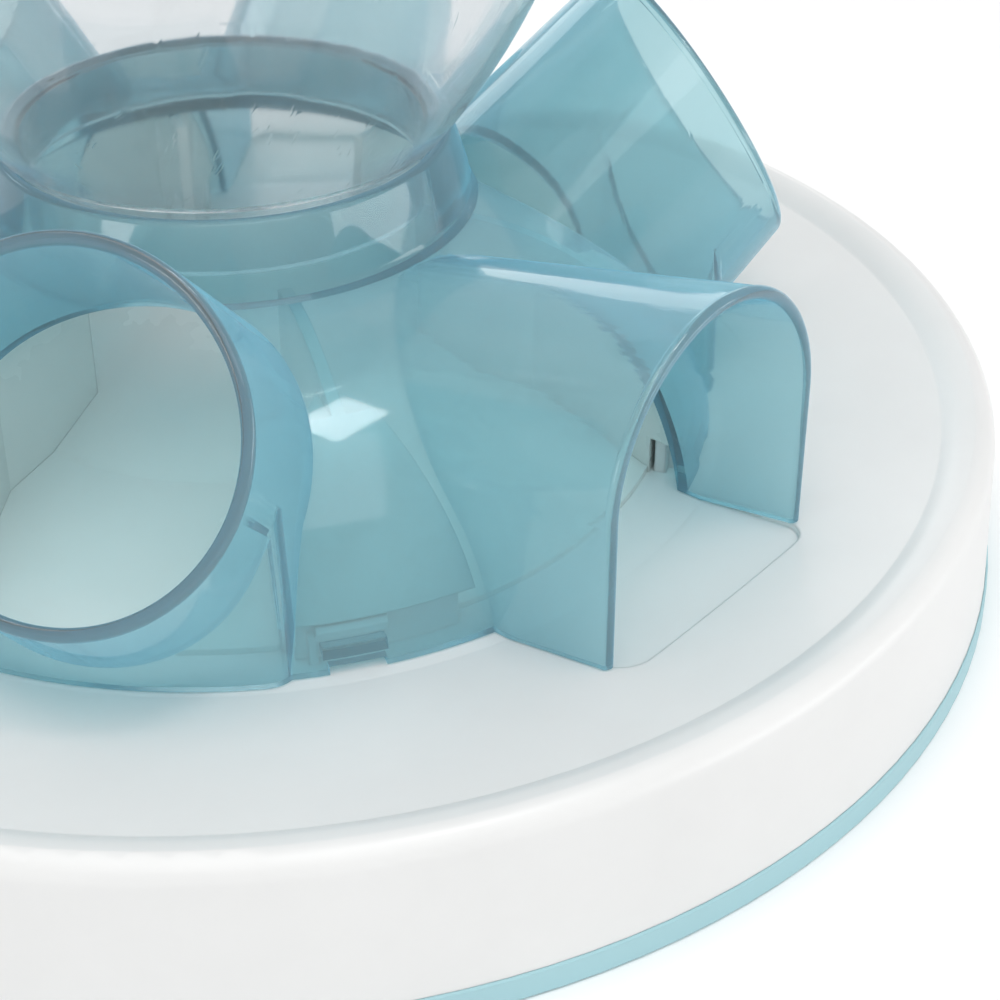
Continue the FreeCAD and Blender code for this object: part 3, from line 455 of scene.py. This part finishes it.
def make_dome():
    """The dome: tunnels joined, all hollowed, then lips, tabs, the floor's cut and the slots."""
    barrel = object_bmesh(combine("barrel", round_bar(0, 0), [("DIFFERENCE", mouth_cutter())]))
    arch = arch_bar(ARCH_HALF_WIDTH, ARCH_REACH - LIP_ROUND)
    arch_hollow = arch_bar(ARCH_HALF_WIDTH - WALL, ARCH_REACH + OVERRUN)
    round_hollow = [round_bar(WALL, OVERRUN), skirt_bar(WALL)]
    dome = combine("dome_with_tunnels", turn_outline(dome_outside()), [
        *turned_copies("UNION", [arch], ARCH_AZIMUTHS),
        *turned_copies("UNION", [barrel, skirt_bar(0)], ROUND_AZIMUTHS),
        ("DIFFERENCE", turn_outline(dome_inside())),
        *turned_copies("DIFFERENCE", [arch_hollow], ARCH_AZIMUTHS),
        *turned_copies("DIFFERENCE", round_hollow, ROUND_AZIMUTHS),
        *turned_copies("UNION", [arch_lip()], ARCH_AZIMUTHS),
        *turned_copies("UNION", [round_lip()], ROUND_AZIMUTHS),
        *turned_copies("UNION", [lock_tab()], LOCK_AZIMUTHS),
        ("DIFFERENCE", floor_cutter()),
        *turned_copies("DIFFERENCE", [base_slot()], LOCK_AZIMUTHS),
    ])
    smooth(dome)
    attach(dome, "dome")
    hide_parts("dome_shell", "dome_neck", *[f"arch_tunnel_{n}" for n in (1, 2, 3)],
                *[f"round_tunnel_{n}" for n in (1, 2, 3)])
    return dome


# Materials

def new_material(name):
    material = bpy.data.materials.new(name)
    material.use_nodes = True
    material.node_tree.nodes.clear()
    return material


def node(tree, kind, **settings):
    made = tree.nodes.new(kind)
    for key, value in settings.items():
        setattr(made, key, value)
    return made


def set_inputs(made, **values):
    for key, value in values.items():
        made.inputs[key.replace("_", " ")].default_value = value


def moulded_grain():
    """Shared group: ripple and rub marks of moulded plastic, uneven gloss and an uneven tone."""
    group = bpy.data.node_groups.new("moulded_grain", "ShaderNodeTree")
    for name, default in (("Ripple Scale", 40.0), ("Rub Marks", 0.1), ("Roughness Low", 0.1),
                          ("Roughness High", 0.16), ("Tone Low", 0.97), ("Tone High", 1.02)):
        socket = group.interface.new_socket(name, in_out="INPUT", socket_type="NodeSocketFloat")
        socket.default_value = default
    for name in ("Height", "Roughness", "Tone"):
        group.interface.new_socket(name, in_out="OUTPUT", socket_type="NodeSocketFloat")
    link = group.links.new
    inputs = node(group, "NodeGroupInput")
    outputs = node(group, "NodeGroupOutput")
    place = node(group, "ShaderNodeTexCoord")
    ripple = node(group, "ShaderNodeTexNoise")
    set_inputs(ripple, Detail=2.0, Roughness=0.5)
    link(place.outputs["Object"], ripple.inputs["Vector"])
    link(inputs.outputs["Ripple Scale"], ripple.inputs["Scale"])
    stretch = node(group, "ShaderNodeMapping")
    set_inputs(stretch, Rotation=(0.5, 0.35, 0.2), Scale=(700.0, 260.0, 16.0))
    link(place.outputs["Object"], stretch.inputs["Vector"])
    rubbed = node(group, "ShaderNodeTexNoise")
    set_inputs(rubbed, Scale=1.0, Detail=1.0)
    link(stretch.outputs["Vector"], rubbed.inputs["Vector"])
    lines = node(group, "ShaderNodeMapRange")
    set_inputs(lines, From_Min=0.68, From_Max=0.74)
    link(rubbed.outputs["Fac"], lines.inputs["Value"])
    height = node(group, "ShaderNodeMath", operation="MULTIPLY_ADD")
    link(lines.outputs["Result"], height.inputs[0])
    link(inputs.outputs["Rub Marks"], height.inputs[1])
    link(ripple.outputs["Fac"], height.inputs[2])
    link(height.outputs["Value"], outputs.inputs["Height"])
    handling = node(group, "ShaderNodeTexNoise")
    set_inputs(handling, Scale=18.0, Detail=5.0, Roughness=0.6)
    link(place.outputs["Object"], handling.inputs["Vector"])
    for name in ("Roughness", "Tone"):
        spread = node(group, "ShaderNodeMapRange")
        set_inputs(spread, From_Min=0.35, From_Max=0.7)
        link(handling.outputs["Fac"], spread.inputs["Value"])
        link(inputs.outputs[f"{name} Low"], spread.inputs["To Min"])
        link(inputs.outputs[f"{name} High"], spread.inputs["To Max"])
        link(spread.outputs["Result"], outputs.inputs[name])
    return group


GRAIN = moulded_grain()


def plastic(name, colour, roughness, ripple_scale=40.0, ripple_depth=0.02, rub=0.1, edge=0,
            **values):
    """Moulded plastic with a faint ripple, light rub marks, uneven gloss and soft edges."""
    material = new_material(name)
    tree = material.node_tree
    shader = node(tree, "ShaderNodeBsdfPrincipled")
    set_inputs(shader, **values)
    grain = node(tree, "ShaderNodeGroup", node_tree=GRAIN)
    set_inputs(grain, Ripple_Scale=ripple_scale, Rub_Marks=rub,
               Roughness_Low=roughness[0], Roughness_High=roughness[1])
    tree.links.new(grain.outputs["Roughness"], shader.inputs["Roughness"])
    tone = node(tree, "ShaderNodeVectorMath", operation="SCALE")
    tone.inputs[0].default_value = colour
    tree.links.new(grain.outputs["Tone"], tone.inputs["Scale"])
    tree.links.new(tone.outputs["Vector"], shader.inputs["Base Color"])
    bump = node(tree, "ShaderNodeBump")
    set_inputs(bump, Strength=ripple_depth, Distance=1 * MM)
    tree.links.new(grain.outputs["Height"], bump.inputs["Height"])
    if edge:
        bevel = node(tree, "ShaderNodeBevel", samples=4)
        set_inputs(bevel, Radius=edge)
        tree.links.new(bevel.outputs["Normal"], bump.inputs["Normal"])
    tree.links.new(bump.outputs["Normal"], shader.inputs["Normal"])
    output = node(tree, "ShaderNodeOutputMaterial")
    tree.links.new(shader.outputs["BSDF"], output.inputs["Surface"])
    return material, shader, output


def let_lamps_through(material, shader, output, tint):
    """Light from lamps passes a see-through wall with its tint, so that what is inside is lit."""
    tree = material.node_tree
    path = node(tree, "ShaderNodeLightPath")
    open_wall = node(tree, "ShaderNodeBsdfTransparent")
    open_wall.inputs["Color"].default_value = (*tint, 1)
    mix = node(tree, "ShaderNodeMixShader")
    tree.links.new(path.outputs["Is Shadow Ray"], mix.inputs["Fac"])
    tree.links.new(shader.outputs["BSDF"], mix.inputs[1])
    tree.links.new(open_wall.outputs["BSDF"], mix.inputs[2])
    tree.links.new(mix.outputs["Shader"], output.inputs["Surface"])


def fill_with_tint(material, output, density, colour):
    """Depth colour of a see-through plastic: thick parts look deeper than thin ones."""
    depth = node(material.node_tree, "ShaderNodeVolumeAbsorption")
    depth.inputs["Color"].default_value = (*colour, 1)
    depth.inputs["Density"].default_value = density
    material.node_tree.links.new(depth.outputs["Volume"], output.inputs["Volume"])


def petrol_plastic():
    material, shader, output = plastic(
        "petrol_plastic", colour=(0.72, 0.88, 0.895), roughness=(0.05, 0.10),
        ripple_scale=34.0, ripple_depth=0.06, rub=0.06, IOR=1.49, Transmission_Weight=0.86,
        Sheen_Weight=0.60, Sheen_Roughness=0.60, Sheen_Tint=(0.24, 0.57, 0.76, 1))
    let_lamps_through(material, shader, output, tint=(0.65, 0.76, 0.775))
    fill_with_tint(material, output, density=295.0, colour=(0.38, 0.73, 0.785))
    return material


def clear_plastic():
    material, shader, output = plastic(
        "clear_plastic", colour=(0.90, 0.92, 0.93), roughness=(0.02, 0.06),
        ripple_scale=30.0, ripple_depth=0.05, rub=0.12, IOR=1.49, Transmission_Weight=0.97,
        Sheen_Weight=0.25, Sheen_Roughness=0.5, Sheen_Tint=(0.75, 0.82, 0.90, 1))
    let_lamps_through(material, shader, output, tint=(0.90, 0.91, 0.92))
    return material


OPAQUE_FINISHES = {
    "tray_white": {"colour": (0.77, 0.775, 0.77), "roughness": (0.28, 0.36),
                   "edge": 0.8 * MM, "IOR": 1.49},
    "lid_white": {"colour": (0.715, 0.72, 0.715), "roughness": (0.28, 0.36),
                  "edge": 0.8 * MM, "IOR": 1.49},
    "spreader_white": {"colour": (0.72, 0.76, 0.74), "roughness": (0.22, 0.32),
                       "edge": 0.5 * MM, "IOR": 1.49},
    "grip_rubber": {"colour": (0.36, 0.59, 0.64), "roughness": (0.42, 0.55),
                    "edge": 0.4 * MM, "IOR": 1.5},
    "screw_steel": {"colour": (0.62, 0.62, 0.60), "roughness": (0.25, 0.4),
                    "edge": 0.2 * MM, "Metallic": 1.0},
}
FINISHES = {name: plastic(name, **values)[0] for name, values in OPAQUE_FINISHES.items()}
FINISHES["petrol_plastic"] = petrol_plastic()
FINISHES["clear_plastic"] = clear_plastic()

NODE_FINISHES = {
    "base_tray": "tray_white",
    "grip_ring": "grip_rubber",
    "food_spreader": "spreader_white",
    "hopper": "clear_plastic",
    "hopper_lid": "lid_white",
    **{f"divider_{number}": "spreader_white" for number in range(1, 7)},
    **{f"spreader_screw_{number}": "screw_steel" for number in range(1, 4)},
}


def finish_piece(piece, material):
    piece.data.materials.clear()
    piece.data.materials.append(material)


finish_piece(make_dome(), FINISHES["petrol_plastic"])
for name, finish in NODE_FINISHES.items():
    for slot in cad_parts[name].material_slots:
        slot.material = FINISHES[finish]


# Studio: a white floor, a white world and soft lamps, placed by azimuth and elevation in
# degrees, with distance and size in metres and brightness for each part of their area

FLOOR_HALF_SIZE = 6.0
FLOOR_DROP = 0.1 * MM
FLOOR_WHITE = (0.94, 0.94, 0.94, 1)
FLOOR_FADE = (0.30, 0.80)
AMBIENT = 0.60
LAMP_AIM = Vector((0, 0, 60 * MM))
SOFTBOXES = (
    # name, azimuth, elevation, distance, width, height, brightness
    ("overhead", 279, 69, 1.2, 0.28, 0.25, 9.0),
    ("front_top", 235, 52, 1.5, 1.2, 0.9, 1.4),
    ("wide_top", 190, 76, 1.6, 1.2, 0.8, 1.9),
    ("back_wall", 50, 16, 1.5, 1.6, 0.55, 1.6),
    ("back_right", 94, 34, 1.4, 0.40, 0.40, 3.0),
    ("right_panel", 296, 3, 1.2, 0.98, 0.22, 3.4),
    ("left_panel", 176, 5, 1.2, 0.36, 0.30, 4.5),
)
CAMERA_PLACE = Vector((-265.69, -284.92, 255.46)) * MM
CAMERA_AIM = Vector((35.35, -38.75, -1.06)) * MM
CAMERA_LENS = 79.2
CAMERA_SENSOR = 36.0
CAMERA_RANGE = (0.01, 50.0)


def seen_as_background(tree):
    """1 for what the eye sees directly or through a clear wall, 0 for light on the feeder."""
    path = node(tree, "ShaderNodeLightPath")
    seen = node(tree, "ShaderNodeMath", operation="MAXIMUM")
    tree.links.new(path.outputs["Is Camera Ray"], seen.inputs[0])
    tree.links.new(path.outputs["Is Transmission Ray"], seen.inputs[1])
    return seen.outputs["Value"]


def make_studio():
    """White floor, which fades into the white of the background away from the feeder."""
    bm = bmesh.new()
    bmesh.ops.create_grid(bm, x_segments=1, y_segments=1, size=FLOOR_HALF_SIZE)
    move(bm, 0, 0, -FLOOR_DROP)
    floor = new_object("studio_floor", bm)
    material = new_material("studio_white")
    tree = material.node_tree
    shader = node(tree, "ShaderNodeBsdfPrincipled")
    set_inputs(shader, Base_Color=FLOOR_WHITE, Roughness=0.9)
    place = node(tree, "ShaderNodeTexCoord")
    distance = node(tree, "ShaderNodeVectorMath", operation="LENGTH")
    tree.links.new(place.outputs["Object"], distance.inputs[0])
    fade = node(tree, "ShaderNodeMapRange", interpolation_type="SMOOTHSTEP")
    set_inputs(fade, From_Min=FLOOR_FADE[0], From_Max=FLOOR_FADE[1])
    tree.links.new(distance.outputs["Value"], fade.inputs["Value"])
    share = node(tree, "ShaderNodeMath", operation="MULTIPLY")
    tree.links.new(fade.outputs["Result"], share.inputs[0])
    tree.links.new(seen_as_background(tree), share.inputs[1])
    white = node(tree, "ShaderNodeEmission")
    mix = node(tree, "ShaderNodeMixShader")
    tree.links.new(share.outputs["Value"], mix.inputs["Fac"])
    tree.links.new(shader.outputs["BSDF"], mix.inputs[1])
    tree.links.new(white.outputs["Emission"], mix.inputs[2])
    output = node(tree, "ShaderNodeOutputMaterial")
    tree.links.new(mix.outputs["Shader"], output.inputs["Surface"])
    finish_piece(floor, material)


def make_world():
    """White for the eye, and a softer light from all sides on the feeder."""
    world = bpy.data.worlds.new("studio")
    world.use_nodes = True
    tree = world.node_tree
    tree.nodes.clear()
    strength = node(tree, "ShaderNodeMapRange")
    set_inputs(strength, To_Min=AMBIENT, To_Max=1.0)
    tree.links.new(seen_as_background(tree), strength.inputs["Value"])
    background = node(tree, "ShaderNodeBackground")
    set_inputs(background, Color=(1, 1, 1, 1))
    tree.links.new(strength.outputs["Result"], background.inputs["Strength"])
    output = node(tree, "ShaderNodeOutputWorld")
    tree.links.new(background.outputs["Background"], output.inputs["Surface"])
    bpy.context.scene.world = world


def softbox(name, azimuth, elevation, distance, width, height, brightness):
    """Rectangular lamp that looks at the feeder and isn't seen through its clear walls."""
    light = bpy.data.lights.new(name, "AREA")
    light.shape = "RECTANGLE"
    light.size = width
    light.size_y = height
    light.energy = brightness * math.pi * width * height
    lamp = bpy.data.objects.new(name, light)
    lamp.visible_transmission = False
    bpy.context.scene.collection.objects.link(lamp)
    turn, lift = math.radians(azimuth), math.radians(elevation)
    outward = Vector((math.cos(turn) * math.cos(lift), math.sin(turn) * math.cos(lift),
                      math.sin(lift)))
    lamp.location = LAMP_AIM + outward * distance
    lamp.rotation_euler = (-outward).to_track_quat("-Z", "Y").to_euler()


def make_camera():
    data = bpy.data.cameras.new("camera")
    data.sensor_width = CAMERA_SENSOR
    data.lens = CAMERA_LENS
    data.clip_start, data.clip_end = CAMERA_RANGE
    camera = bpy.data.objects.new("camera", data)
    bpy.context.scene.collection.objects.link(camera)
    camera.location = CAMERA_PLACE
    camera.rotation_euler = (CAMERA_AIM - CAMERA_PLACE).to_track_quat("-Z", "Y").to_euler()
    bpy.context.scene.camera = camera


make_studio()
make_world()
for settings in SOFTBOXES:
    softbox(*settings)
make_camera()
bpy.context.scene.view_settings.view_transform = "Standard"
